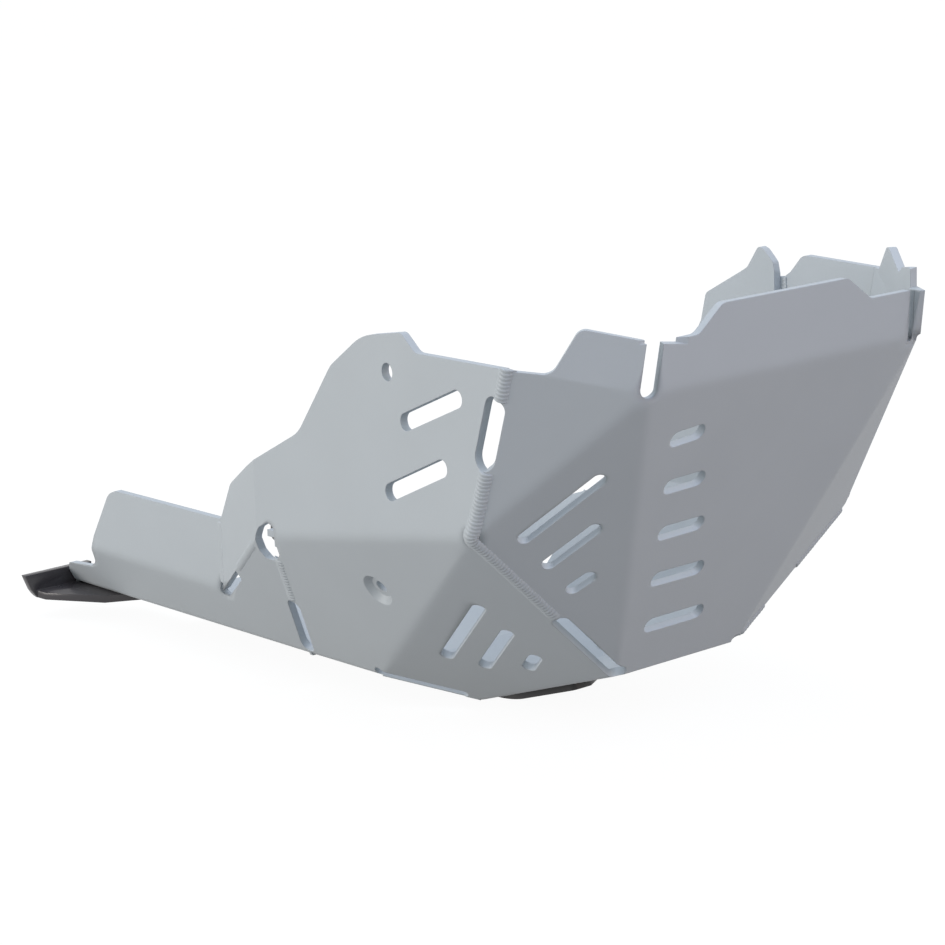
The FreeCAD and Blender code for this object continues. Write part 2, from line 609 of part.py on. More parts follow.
def bead_run(name, first, second, start, end):
    """One bead along a seam of two faces, sunk into the corner, with round ends."""
    sunk = (first[0] + second[0]) / (1 + first[0].dot(second[0])) * size("bead_sunk")
    start, end = start - sunk, end - sunk
    run = end - start
    turn = FreeCAD.Rotation(Vector(0, 0, 1), run)
    rod = add("Part::Cylinder", f"{name}_rod", Radius="sizes.bead_radius", Height=run.Length)
    rod.Placement = FreeCAD.Placement(start, turn)
    return rod


def bead(name, runs):
    """The beads of one seam: what stands out of the plates."""
    rounds = [bead_run(f"{name}_{i + 1}", *run) for i, run in enumerate(runs)]
    base = rounds[0] if len(rounds) == 1 else add("Part::Compound", f"{name}_runs", Links=rounds)
    return add("Part::Cut", name, Base=base, Tool=plates)


def between(start, end, first_share, last_share):
    return start + (end - start) * first_share, start + (end - start) * last_share


CHIN_BEADS = {RIGHT: [(0.01, 0.54)], LEFT: [(0.01, 0.45), (0.74, 0.985)]}
parts = [rear_plate, mid_plate, nose_plate]
for s in (RIGHT, LEFT):
    word = SIDE_NAMES[s]
    w, g1, f, g2 = wall[s], upper_cheek[s], chin_side[s], cheek[s]
    parts.append(bead(f"weld_{word}_cheek", [
        (w, g1) + between(CHEEK_TOP[s], SHOULDER[s], 0.03, 0.13),
        (w, g1) + between(CHEEK_TOP[s], SHOULDER[s], 0.65, 0.955),
    ]))
    parts.append(bead(f"weld_{word}_chin", [(f, g2) + between(SHOULDER[s], TOE[s], *run) for run in CHIN_BEADS[s]]))
    levels = (38, 56) if s == RIGHT else (38, 51)
    start, end = (meet(chine[s], seam, plane_at((0, 0, 1), (0, 0, z))) for z in levels)
    parts.append(bead(f"weld_{word}_side", [(chine[s], chine[s], start, end)]))
corner = meet(wing, turn_in, chine[RIGHT])
parts.append(bead("weld_wing", [(wing, turn_in, corner + Vector(0, 0, 4), Vector(corner.x, corner.y, 64))]))
chine_line = [meet(turn_in, chine[RIGHT], plane_at((1, 0, 0), (x, 0, 0))) for x in (-51, -23)]
parts.append(bead("weld_chine", [(turn_in, chine[RIGHT], chine_line[0], chine_line[1])]))
# The two long cross seams are welded from inside, so the underside stays flat
upper_belly, upper_chin, inner_front = (turned(offset_plane(face, PLATE)) for face in (belly, chin, front))
belly_line = [meet(upper_belly, seam, plane_at((0, 1, 0), (0, y, 0))) for y in (-60, 60)]
parts.append(bead("weld_belly", [(upper_belly, upper_belly, belly_line[0], belly_line[1])]))
toe_line = [meet(upper_chin, inner_front, plane_at((0, 1, 0), (0, y, 0))) for y in (-30, 30)]
parts.append(bead("weld_toe", [(upper_chin, inner_front, toe_line[0], toe_line[1])]))

# A short tack closes the foot of the gap between flap and wall
flap_tip = hinge + Vector(math.cos(flap_turn), -math.sin(flap_turn), 0) * size("flap_length")
tack_place = Vector(flap_tip.x + size("flap_gap") / 2, flap_tip.y + PLATE / 2, 177)
tack_rod = add("Part::Cylinder", "flap_tack_rod", Radius="sizes.tack_radius", Height=9.0)
tack_rod.Placement = FreeCAD.Placement(tack_place, FreeCAD.Rotation())
parts.append(add("Part::Cut", "weld_flap", Base=tack_rod, Tool=plates))

# Rear bracket: open tray under the belly with two upright flanges behind its rear edge
REAR_END = -size("rear_reach")
BEHIND = -size("bracket_behind")


def polyline(body, name, plane_role, points, offset=0.0):
    """A closed outline in a body's own plane, each corner placed from the origin."""
    made = body.newObject("Sketcher::SketchObject", name)
    made.AttachmentSupport = [(next(f for f in body.Origin.OriginFeatures if f.Role == plane_role), "")]
    made.MapMode = "FlatFace"
    made.AttachmentOffset = FreeCAD.Placement(Vector(0, 0, offset), FreeCAD.Rotation())
    count = len(points)
    ends = [Vector(a, b, 0) for a, b in points]
    made.addGeometry([Part.LineSegment(ends[i], ends[(i + 1) % count]) for i in range(count)])
    link = Sketcher.Constraint
    for i in range(count):
        made.addConstraint(link("Coincident", i, 2, (i + 1) % count, 1))
    for i, (a, b) in enumerate(points):
        made.addConstraint([link("DistanceX", -1, 1, i, 1, a), link("DistanceY", -1, 1, i, 1, b)])
    return made


rear_bracket = add("PartDesign::Body", "rear_bracket")
TRAY_OUTSIDE = [(BEHIND, size("tray_out")), (7, 99), (37.5, 80.5), (42, 72), (50, 58), (81, 58)]
TRAY_INSIDE = {s: [(74, 48), (32, 48), (22, 54), (14, side_size(s, "tray_open")), (BEHIND, side_size(s, "tray_open"))]
               for s in (RIGHT, LEFT)}
right_half = [(REAR_END + x, -y) for x, y in TRAY_OUTSIDE]
left_half = [(REAR_END + x, y) for x, y in reversed(TRAY_OUTSIDE)]
left_open = [(REAR_END + x, y) for x, y in reversed(TRAY_INSIDE[LEFT])]
right_open = [(REAR_END + x, -y) for x, y in TRAY_INSIDE[RIGHT]]
tray = polyline(rear_bracket, "rear_bracket_tray", "XY_Plane", right_half + left_half + left_open + right_open)
pad = rear_bracket.newObject("PartDesign::Pad", "rear_bracket_tray_pad")
pad.Profile = tray
pad.Reversed = True
pad.setExpression("Length", "sizes.bracket")
UNDER = -size("bracket")
for s in (RIGHT, LEFT):
    word = SIDE_NAMES[s]
    near = side_size(s, "tray_open")
    outline = [(near, UNDER), (size("tray_out"), UNDER), (size("flange_out"), 1.0),
               (size("flange_out"), size("flange_rise")), (near, size("flange_rise"))]
    flange = polyline(rear_bracket, f"rear_bracket_{word}_flange", "YZ_Plane", [(s * y, z) for y, z in outline],
                      REAR_END + BEHIND)
    pad = rear_bracket.newObject("PartDesign::Pad", f"rear_bracket_{word}_flange_pad")
    pad.Profile = flange
    pad.setExpression("Length", "sizes.bracket")
doc.recompute()

# Front bracket: bent strip under the chin, level behind the keel
front_bracket = add("PartDesign::Body", "front_bracket")
chin_angle = math.atan2(size("toe_rise") + size("keel_drop"), size("toe_ahead") - size("keel_ahead"))
along_chin = Vector(math.cos(chin_angle), 0, math.sin(chin_angle))
under = Vector(math.sin(chin_angle), 0, -math.cos(chin_angle)) * size("strip")
tip = KEEL + along_chin * size("strip_reach")
knee = KEEL + Vector(size("strip") * math.tan(chin_angle / 2), 0, -size("strip"))
heel = KEEL - Vector(size("strip_heel"), 0, 0)
strip_points = [heel, KEEL, tip, tip + under, knee, heel - Vector(0, 0, size("strip"))]
strip = polyline(front_bracket, "front_bracket_profile", "XZ_Plane", [(p.x, p.z) for p in strip_points])
pad = front_bracket.newObject("PartDesign::Pad", "front_bracket_pad")
pad.Profile = strip
pad.Midplane = True
pad.setExpression("Length", "sizes.strip_width")
parts += [rear_bracket, front_bracket]

doc.recompute()
for part in parts:
    print(part.Name, part.Shape.isValid(), len(part.Shape.Solids), round(part.Shape.Volume), part.Shape.BoundBox)

os.makedirs("parts", exist_ok=True)
for made in doc.Objects:
    broken = [word for word in made.State if word in ("Invalid", "Error")]
    if broken:
        raise RuntimeError(f"{made.Name} is {broken}")
for part in parts:
    part.Label = part.Name
    if part.Shape.isNull() or not part.Shape.isValid() or not part.Shape.Solids:
        raise RuntimeError(f"{part.Name} has no sound solid")
    part.Shape.exportStep(f"parts/{part.Name}.step")
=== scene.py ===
# %% [markdown]
# # Engine guard: dressing a sheet-metal part in Blender
#
# The guard is a tray of folded and welded aluminium sheet that hangs under a motorbike's engine. Its solids
# come from the CAD frame: three plates, the weld beads between them, and two steel brackets. This lesson
# gives them their looks. The plates keep their meshes and get a silver powder coat. The plain welds are
# replaced by beads with the ripples that a hand-held torch leaves, and the brackets get softer bends and
# black coats.
#
# Sizes and places are written in millimetres and turned into metres by one constant, `MM`.

# %% Open the frame
import bpy
import bmesh
import math
from mathutils import Matrix, Vector


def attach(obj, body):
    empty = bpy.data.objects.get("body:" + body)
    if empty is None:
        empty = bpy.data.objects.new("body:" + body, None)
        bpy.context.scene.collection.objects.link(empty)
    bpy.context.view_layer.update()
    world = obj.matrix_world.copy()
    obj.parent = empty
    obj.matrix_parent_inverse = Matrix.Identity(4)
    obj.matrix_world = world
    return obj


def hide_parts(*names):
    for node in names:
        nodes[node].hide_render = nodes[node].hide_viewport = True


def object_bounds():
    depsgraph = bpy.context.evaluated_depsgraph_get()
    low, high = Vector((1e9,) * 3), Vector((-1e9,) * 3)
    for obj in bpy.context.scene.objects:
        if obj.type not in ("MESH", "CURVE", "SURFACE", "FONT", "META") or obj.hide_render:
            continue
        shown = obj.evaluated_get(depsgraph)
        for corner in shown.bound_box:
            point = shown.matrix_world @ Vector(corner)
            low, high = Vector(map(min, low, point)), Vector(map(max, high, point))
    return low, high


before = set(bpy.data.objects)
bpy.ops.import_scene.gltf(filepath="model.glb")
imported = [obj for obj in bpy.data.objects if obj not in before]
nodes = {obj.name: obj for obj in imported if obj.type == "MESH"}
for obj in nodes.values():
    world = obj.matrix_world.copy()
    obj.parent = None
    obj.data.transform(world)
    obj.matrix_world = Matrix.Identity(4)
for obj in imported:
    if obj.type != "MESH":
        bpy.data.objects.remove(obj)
cad_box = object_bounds()
MM = 0.001
print("nodes:", sorted(nodes))

# %% [markdown]
# ## Small helpers
#
# Colours are written as in a paint program, in sRGB hex, and turned into the linear values that shaders use.
# Shader nodes are added by one function that also sets their inputs, so that a material reads as a list of
# nodes and links.

# %% Colour and node helpers
def srgb(hex_code):
    """A hex colour as the linear RGBA that a shader socket takes."""
    channels = [int(hex_code[i:i + 2], 16) / 255 for i in (1, 3, 5)]
    linear = [c / 12.92 if c <= 0.04045 else ((c + 0.055) / 1.055) ** 2.4 for c in channels]
    return (*linear, 1.0)


def add_node(tree, kind, links=(), numbered=None, **values):
    """Adds a shader node, sets its inputs or properties, and links (from socket, input) pairs."""
    node = tree.nodes.new(kind)
    for name, value in values.items():
        label = name.replace("_", " ")
        if label in node.inputs:
            node.inputs[label].default_value = value
        else:
            setattr(node, name, value)
    for number, value in (numbered or {}).items():
        node.inputs[number].default_value = value
    for socket, name in links:
        tree.links.new(socket, node.inputs[name])
    return node


def new_material(name):
    """An empty material and its node tree."""
    material = bpy.data.materials.new(name)
    material.use_nodes = True
    material.node_tree.nodes.clear()
    return material, material.node_tree


print("a middle grey, linear:", [round(c, 3) for c in srgb("#808080")])

# %% [markdown]
# ## Press folds
#
# A press folds thick sheet over a wide, soft line: the metal starts to turn some millimetres before the fold
# itself, and on the real guard each fold shows as a band of changing tone. It could be modelled as a wider
# bend, but the plates' meshes come from CAD and stay as they are. The Bevel node does it in the coat instead,
# because it turns the shading near an edge by what it finds within its radius. That radius is wide along the
# folds listed here, and everywhere else it is only that of a worn cut edge.

# %% Where the folds are
# Each fold from end to end: top of the side panel, cheek, brow, right and left side of the front panel,
# dip beside the chin, foot of the wing
FOLDS = [
    ((6.1, -115.3, 75.1), (160.0, -130.4, 102.9)),
    ((166.0, -130.0, 104.5), (232.0, -92.5, 167.5)),
    ((236.5, -82.0, 171.3), (238.0, 88.0, 171.1)),
    ((232.0, -87.0, 162.0), (179.0, -51.0, 50.0)),
    ((232.0, 84.0, 160.0), (179.0, 53.0, 50.0)),
    ((150.0, -114.5, 82.5), (52.0, -82.7, 15.5)),
    ((-79.7, -87.0, 28.2), (-230.0, -91.0, 27.0)),
]
SOFT_BEND = 9.0
BEND_ZONE = 20.0
WORN_EDGE = 0.6
print("press folds:", [round((Vector(b) - Vector(a)).length) for a, b in FOLDS], "mm long")


# %% The bevel's radius over the surface
def distance_to_fold(tree, place, start, end):
    """A socket with the distance from the surface to the nearest point of a fold."""
    way = (end - start).normalized()
    offset = add_node(tree, "ShaderNodeVectorMath", [(place, 0)], {1: start}, operation="SUBTRACT")
    along = add_node(
        tree, "ShaderNodeVectorMath", [(offset.outputs[0], 0)], {1: way}, operation="DOT_PRODUCT",
    )
    kept = add_node(
        tree, "ShaderNodeClamp", [(along.outputs["Value"], "Value")], Min=0.0, Max=(end - start).length,
    )
    foot = add_node(tree, "ShaderNodeVectorMath", [(kept.outputs[0], "Scale")], {0: way}, operation="SCALE")
    away = add_node(
        tree, "ShaderNodeVectorMath", [(offset.outputs[0], 0), (foot.outputs[0], 1)], operation="DISTANCE",
    )
    return away.outputs["Value"]


def bend_radius(tree, place):
    """A socket with the bevel's radius: wide along the folds, and that of a worn edge elsewhere."""
    distances = [distance_to_fold(tree, place, Vector(a) * MM, Vector(b) * MM) for a, b in FOLDS]
    nearest = distances[0]
    for away in distances[1:]:
        nearest = add_node(tree, "ShaderNodeMath", [(nearest, 0), (away, 1)], operation="MINIMUM").outputs[0]
    zone = add_node(
        tree, "ShaderNodeMapRange", [(nearest, "Value")], interpolation_type="SMOOTHSTEP",
        From_Min=0.0, From_Max=BEND_ZONE * MM, To_Min=SOFT_BEND * MM, To_Max=WORN_EDGE * MM,
    )
    return zone.outputs["Result"]


# %% [markdown]
# ## Powder coat and paint
#
# Powder coat is a plastic powder that is sprayed on dry and baked to a skin. It has a fine grain and a wavy
# orange peel, and the silver pigment in it gives a broad, soft gloss. Over a whole panel the tone drifts a
# little. A picture of a coat would need an unwrapped surface, so the coat is built from noise on Object
# coordinates, with each pattern's scale worked out from its real size.

# %% Sizes of the coat's patterns
TONE_PATCH = 45.0
# Real grain and peel are two or three times finer, and are drawn as coarse as they need to be to show
GRAIN = 0.55
GRAIN_HEIGHT = 0.03
PEEL = 2.2
print("noise scales:", [round(1 / (size * MM)) for size in (TONE_PATCH, GRAIN, PEEL)])


# %% The coat
def powder_coat(name, light, dark, peel_height=0.035, roughness=0.55, metallic=0.0, folded=False):
    """A baked coat whose tone drifts between two colours, with grain, orange peel and worn edges."""
    material, tree = new_material(name)
    place = add_node(tree, "ShaderNodeTexCoord").outputs["Object"]
    noise = {
        size: add_node(
            tree, "ShaderNodeTexNoise", [(place, "Vector")], Scale=1 / (size * MM), Detail=detail,
        ).outputs["Fac"]
        for size, detail in ((TONE_PATCH, 3.0), (GRAIN, 2.0), (PEEL, 1.0))
    }
    tone = add_node(
        tree, "ShaderNodeMix", [(noise[TONE_PATCH], "Factor")], {6: srgb(dark), 7: srgb(light)},
        data_type="RGBA",
    )
    edge = add_node(tree, "ShaderNodeBevel", Radius=WORN_EDGE * MM, samples=8 if folded else 4)
    if folded:
        tree.links.new(bend_radius(tree, place), edge.inputs["Radius"])
    fine = add_node(
        tree, "ShaderNodeBump", [(noise[GRAIN], "Height"), (edge.outputs["Normal"], "Normal")],
        Strength=0.35, Distance=GRAIN_HEIGHT * MM,
    )
    skin = add_node(
        tree, "ShaderNodeBump", [(noise[PEEL], "Height"), (fine.outputs["Normal"], "Normal")],
        Strength=0.5, Distance=peel_height * MM,
    )
    coat = add_node(
        tree, "ShaderNodeBsdfPrincipled",
        [(tone.outputs[2], "Base Color"), (skin.outputs["Normal"], "Normal")],
        Roughness=roughness, Metallic=metallic,
    )
    add_node(tree, "ShaderNodeOutputMaterial", [(coat.outputs["BSDF"], "Surface")])
    return material


# %% The four finishes
# Silver powder on the plates: a pale, cool grey with a broad satin gloss, a little metallic from its pigment
silver_coat = powder_coat("silver_powder_coat", "#b9bec1", "#b3b8bb", metallic=0.08, folded=True)
# The same powder over the welds, where it pulls thin on each crest: a shade more uneven in tone and peel
weld_coat = powder_coat("silver_coat_over_weld", "#b9bec1", "#b0b5b8", peel_height=0.05, metallic=0.08)
# Black powder on the rear bracket: a warm dark grey that is smooth enough for its bends to catch the light
black_coat = powder_coat("black_powder_coat", "#403c3e", "#3a3739", roughness=0.24)
# Satin paint on the front strip: nearly black, with only a faint sheen
black_paint = powder_coat("black_satin_paint", "#161517", "#121113", roughness=0.5)


def dress(obj, material):
    """Puts one material on all faces."""
    obj.data.materials.clear()
    obj.data.materials.append(material)


for name, node in nodes.items():
    dress(node, black_coat if "bracket" in name else silver_coat)
print("materials:", [m.name for m in bpy.data.materials])

# %% [markdown]
# ## Weld beads
#
# A torch lays a bead as a row of overlapping crescents, like fallen coins. Only a flat cap of the bead stands
# out of the metal, and the rest has melted into the joint, so a bead is modelled as a tube that lies deep in
# the seam. It could be a curve with a bevel, but then every ring would be the same. Here each ring is a
# circle of its own, shaped by how far along its coin it is, and neighbouring rings are bridged.

# %% The seams that the beads follow
# For each seam: its two ends at the sheets' corners, and the way out of the metal
SEAMS = {
    "right cheek": ((194.4, -133.9, 186.0), (165.0, -131.0, 103.5), (0.303, -0.942, -0.141)),
    "right chin": ((165.0, -131.0, 103.5), (164.0, -40.7, 19.6), (0.523, -0.577, -0.627)),
    "left cheek": ((188.4, 120.7, 197.6), (165.0, 120.0, 73.0), (0.24, 0.969, -0.051)),
    "left chin": ((165.0, 120.0, 73.0), (164.0, 40.7, 19.6), (0.565, 0.456, -0.688)),
}
SEAMS = {name: [Vector(v) for v in seam] for name, seam in SEAMS.items()}
CORNER_LEG = 8.0
CORNER_SWING = 1.3


def straight(start, end, out):
    """A straight run: its two ends, and the way out of the metal at each."""
    return [Vector(start), Vector(end)], [Vector(out), Vector(out)]


def on_seam(name, start_share, end_share):
    """A straight run between two shares of the way along a seam."""
    start, end, out = SEAMS[name]
    return straight(start.lerp(end, start_share), start.lerp(end, end_share), out)


def round_the_corner(first, second, start_share, end_share):
    """A run down one seam, round the corner and along the next seam."""
    top, corner, first_out = SEAMS[first]
    toe, second_out = SEAMS[second][1:]
    before = corner + (top - corner).normalized() * CORNER_LEG
    after = corner + (toe - corner).normalized() * CORNER_LEG
    turn = corner + (corner - (before + after) / 2).normalized() * CORNER_SWING
    line = [top.lerp(corner, start_share), before, turn, after, corner.lerp(toe, end_share)]
    return line, [first_out, first_out, first_out.lerp(second_out, 0.5), second_out, second_out]


print("seams:", {name: round((end - start).length) for name, (start, end, _) in SEAMS.items()})

# %% The sections of the beads
# Half width on the metal, height over the seam, slope at which the metal falls away beside it, depth of the
# ripple, and depth of the bead in the joint
CHEEK_BEAD = (3.5, 0.65, 0.46, 0.42, 3.4)
CHIN_BEAD = (3.6, 0.75, 0.38, 0.42, 3.4)
SOFT_BEAD = (3.3, 0.70, 0.29, 0.30, 3.4)
SIDE_BEAD = (3.0, 0.80, 0.0, 0.50, 3.0)
WING_BEAD = (2.0, 0.75, -0.18, 0.04, 3.0)
CHINE_BEAD = (2.4, 0.22, 0.31, 0.05, 3.0)
CORNER_BEAD = (2.3, 1.4, 0.3, 0.25, 1.4)
TACK_BEAD = (2.2, 1.4, 0.0, 0.2, 2.0)

# %% The beads
# For each piece: the weld nodes that it stands for, and its runs
BEADS = {
    "right_cheek_and_chin_bead": (["weld_right_cheek", "weld_right_chin"], [
        (on_seam("right cheek", -0.02, 0.19), CHEEK_BEAD),
        (round_the_corner("right cheek", "right chin", 0.60, 0.57), CHIN_BEAD),
    ]),
    "left_cheek_bead": (["weld_left_cheek"], [
        (on_seam("left cheek", 0.012, 0.19), SOFT_BEAD),
        (on_seam("left cheek", 0.60, 0.955), SOFT_BEAD),
    ]),
    "left_chin_bead": (["weld_left_chin"], [
        (on_seam("left chin", 0.04, 0.46), SOFT_BEAD),
        (on_seam("left chin", 0.75, 0.955), SOFT_BEAD),
    ]),
    "right_side_bead": (["weld_right_side"], [
        (straight((-6.7, -107.1, 59.4), (-14.4, -93.5, 34.2), (-0.008, -0.88, -0.474)), SIDE_BEAD),
    ]),
    "left_side_bead": (["weld_left_side"], [
        (straight((-8.2, 108.5, 54.0), (-14.2, 96.5, 35.0), (-0.016, 0.853, -0.521)), SIDE_BEAD),
    ]),
    "wing_bead": (["weld_wing"], [
        (straight((-77.4, -89.3, 64.0), (-77.4, -89.3, 31.4), (-0.183, -0.983, 0.0)), WING_BEAD),
    ]),
    "chine_bead": (["weld_chine"], [
        (straight((-23.0, -110.3, 65.5), (-51.0, -99.5, 45.9), (-0.193, -0.949, -0.248)), CHINE_BEAD),
    ]),
    "belly_bead": (["weld_belly"], [
        (straight((-23.8, -60.0, 3.1), (-23.8, 60.0, 3.1), (0.0, 0.0, 1.0)), CORNER_BEAD),
    ]),
    "toe_bead": (["weld_toe"], [
        (straight((161.8, -30.0, 22.1), (161.8, 30.0, 22.1), (-0.658, 0.0, 0.753)), CORNER_BEAD),
    ]),
    "flap_bead": (["weld_flap"], [
        (straight((128.2, 116.4, 186.0), (128.2, 116.4, 177.0), (0.0, 1.0, 0.0)), TACK_BEAD),
    ]),
}
print("runs to lay:", sum(len(runs) for _, runs in BEADS.values()))


# %% Lines as the rings need them
FEWEST_STEPS = 8


def round_corners(points, times=3):
    """Cuts each corner of a line of points, again and again, so that the line turns smoothly."""
    for _ in range(times):
        cut = [points[0]]
        for a, b in zip(points, points[1:]):
            cut += [a.lerp(b, 0.25), a.lerp(b, 0.75)]
        points = cut + [points[-1]]
    return points


def even_steps(points, outs, step):
    """Points at equal steps along a line, each with its distance and its way out of the metal."""
    reach = [0.0]
    for a, b in zip(points, points[1:]):
        reach.append(reach[-1] + (b - a).length)
    count = max(FEWEST_STEPS, round(reach[-1] / step))
    stations = []
    k = 0
    for i in range(count + 1):
        s = reach[-1] * i / count
        while k < len(points) - 2 and reach[k + 1] < s:
            k += 1
        share = (s - reach[k]) / max(1e-9, reach[k + 1] - reach[k])
        stations.append((s, points[k].lerp(points[k + 1], share), outs[k].lerp(outs[k + 1], share)))
    return stations


# %% [markdown]
# ### One coin after another
#
# Along the bead, each coin rises quickly and falls slowly. Across it, the coin's rim lags behind at both
# sides, which bends the ripples to crescents. Each coin is also a touch larger or smaller than the last one,
# as a hand leaves it. Sine waves do that, so the bead comes out the same in every run.

# %% The shape of a coin
COIN = 1.95
RIM_LAG = 0.55
QUICK_RISE = 0.6


def coin_height(phase):
    """Height of a coin over its length: a quick rise and a slow fall, from 0 to 1."""
    return math.sin(math.pi * (phase % 1.0) ** QUICK_RISE)


def hand_shake(coin):
    """A little more or less size from coin to coin."""
    return 1.0 + 0.014 * math.sin(7.3 * coin) + 0.01 * math.sin(2.9 * coin + 1.0)


print("coin heights:", [round(coin_height(i / 8), 2) for i in range(9)])

# %% Lay a bead
RINGS_PER_COIN = 8
AROUND = 32
# How much wider the tube is than the cap that shows
SOFTNESS = 1.22
END_LENGTH = 1.5
END_SINK = 0.5
SHAKE_LIFT = 2.0
FOOT_STEP = 0.1


def lay_bead(mesh, line, section):
    """Rings of a bead, bridged one to the next and closed at both ends."""
    half_width, crown, slope, ripple, depth = section
    wide = SOFTNESS * half_width
    tall = (crown + slope * half_width) / (1 - math.sqrt(1 - 1 / SOFTNESS ** 2))
    stations = even_steps(round_corners(line[0]), round_corners(line[1]), COIN / RINGS_PER_COIN)
    length = stations[-1][0]
    loops = []
    for i, (s, place, out) in enumerate(stations):
        ahead = stations[min(i + 1, len(stations) - 1)][1] - stations[max(i - 1, 0)][1]
        along = ahead.normalized()
        side = along.cross(out).normalized()
        up = side.cross(along)
        end_gap = min(s, length - s, END_LENGTH) / END_LENGTH
        sink = END_SINK * (1 - math.sqrt(1 - (1 - end_gap) ** 2))
        ring = bmesh.ops.create_circle(mesh, segments=AROUND, radius=1.0)["verts"]
        for vert in ring:
            across, high = vert.co.x, vert.co.y
            phase = s / COIN + RIM_LAG * across * across
            size = hand_shake(math.floor(phase))
            dip = ripple * (1 - coin_height(phase))
            lift = crown + tall * (max(high, 0.0) - 1) + (size - 1) * SHAKE_LIFT - dip - sink
            vert.co = (place + side * across * wide * size + up * max(lift, -depth)) * MM
            # The lower part of the ring steps down, so that the tube keeps a bottom
            if high < -0.5:
                vert.co -= up * FOOT_STEP * MM
        loops.append(list({edge for vert in ring for edge in vert.link_edges}))
    for a, b in zip(loops, loops[1:]):
        bmesh.ops.bridge_loops(mesh, edges=a + b)
    for loop in (loops[0], loops[-1]):
        bmesh.ops.contextual_create(mesh, geom=loop)


# %% [markdown]
# ### Trim and place
#
# The first run on the right cheek starts above the two sheets that meet there and is cut level with their top
# edges, as a welder grinds it. A plane cuts it cleaner than a run of the right length would end, and it cuts
# twice, because the two edges slope. Then each piece is made an object of the guard.

# %% Trim the bead at the top of the right cheek
GROUND_OFF = 0.15
TRIM_POINT = SEAMS["right cheek"][0] - Vector((0, 0, GROUND_OFF))
TRIM_NORMALS = ((0, 0, 1), (0.14, 0.14, 1))


def trim_top(mesh):
    """Cuts off what stands over the sheets' top edges, and closes the cuts."""
    for normal in TRIM_NORMALS:
        everything = mesh.verts[:] + mesh.edges[:] + mesh.faces[:]
        cut = bmesh.ops.bisect_plane(
            mesh, geom=everything, plane_co=TRIM_POINT * MM, plane_no=normal, clear_outer=True,
        )["geom_cut"]
        rim = [part for part in cut if isinstance(part, bmesh.types.BMEdge)]
        bmesh.ops.holes_fill(mesh, edges=rim, sides=0)


# %% Make the bead pieces
def finish_piece(name, mesh, material, replaced):
    """Turns a bmesh into a dressed object that rides on the guard and stands for CAD nodes."""
    bmesh.ops.recalc_face_normals(mesh, faces=mesh.faces)
    data = bpy.data.meshes.new(name)
    mesh.to_mesh(data)
    mesh.free()
    piece = bpy.data.objects.new(name, data)
    bpy.context.scene.collection.objects.link(piece)
    dress(piece, material)
    data.shade_smooth()
    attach(piece, "root")
    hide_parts(*replaced)
    return piece


for name, (replaced, runs) in BEADS.items():
    mesh = bmesh.new()
    for line, section in runs:
        lay_bead(mesh, line, section)
    if name == "right_cheek_and_chin_bead":
        trim_top(mesh)
    bead = finish_piece(name, mesh, weld_coat, replaced)
    print(name, len(bead.data.polygons), "faces")

# %% [markdown]
# ## The front strip
#
# The front strip is a short tongue of bent steel under the chin. Its right corner is rounded, and its left
# corner is cut off by a long slant. It could be cut from a block, but bent sheet is quicker made as the
# workshop makes it: a line of three points is extruded to a ribbon, its bend and corners are bevelled, and
# then it gets its thickness and its worn edges.

# %% Helpers for bends and edges
def round_edges(mesh, edges, offset, segments):
    """Rounds edges with a bevel."""
    return bmesh.ops.bevel(
        mesh, geom=edges, offset=offset * MM, offset_type="OFFSET", affect="EDGES",
        segments=segments, profile=0.5, material=-1, clamp_overlap=True,
    )


def sharp_edges(mesh, angle=50):
    """Edges between faces that meet at more than an angle in degrees."""
    return [
        e for e in mesh.edges
        if len(e.link_faces) == 2 and e.calc_face_angle() > math.radians(angle)
    ]


# %% A bent ribbon
# The strip's top face seen from the side, as x and z: level at the rear, then up along the chin
STRIP_LINE = [(62.0, -10.3), (73.0, -10.3), (119.0, 4.8)]
STRIP_HALF_WIDTH = 27.0
STRIP_BEND = 9.0
mesh = bmesh.new()
line = [mesh.verts.new((x * MM, -STRIP_HALF_WIDTH * MM, z * MM)) for x, z in STRIP_LINE]
edges = [mesh.edges.new(pair) for pair in zip(line, line[1:])]
ribbon = bmesh.ops.extrude_edge_only(mesh, edges=edges)["geom"]
far_side = [part for part in ribbon if isinstance(part, bmesh.types.BMVert)]
bmesh.ops.translate(mesh, verts=far_side, vec=(0, 2 * STRIP_HALF_WIDTH * MM, 0))
bend = [e for e in mesh.edges if len(e.link_faces) == 2]
round_edges(mesh, bend, STRIP_BEND, segments=8)
print("ribbon:", len(mesh.faces), "faces")

# %% Corners and thickness
# Side of the strip, size of its front corner, segments: a round corner and a slant
TIP_CORNERS = ((-STRIP_HALF_WIDTH, 3.5, 6), (STRIP_HALF_WIDTH, 43.0, 1))
NEARLY = 0.1
STRIP_THICKNESS = 4.5
STRIP_EDGE = 0.9
tip = STRIP_LINE[-1][0]
for y, offset, segments in TIP_CORNERS:
    corner = [
        v for v in mesh.verts
        if v.co.x > (tip - NEARLY) * MM and abs(v.co.y - y * MM) < NEARLY * MM
    ]
    bmesh.ops.bevel(
        mesh, geom=corner, offset=offset * MM, offset_type="OFFSET", affect="VERTICES",
        segments=segments, profile=0.5, material=-1,
    )
bmesh.ops.recalc_face_normals(mesh, faces=mesh.faces)
if sum(f.normal.z * f.calc_area() for f in mesh.faces) < 0:
    bmesh.ops.reverse_faces(mesh, faces=mesh.faces)
bmesh.ops.solidify(mesh, geom=mesh.faces, thickness=STRIP_THICKNESS * MM)
round_edges(mesh, sharp_edges(mesh), STRIP_EDGE, segments=3)
strip = finish_piece("front_strip", mesh, black_paint, ["front_bracket"])
print("front strip:", [round(size / MM, 1) for size in strip.dimensions], "mm")

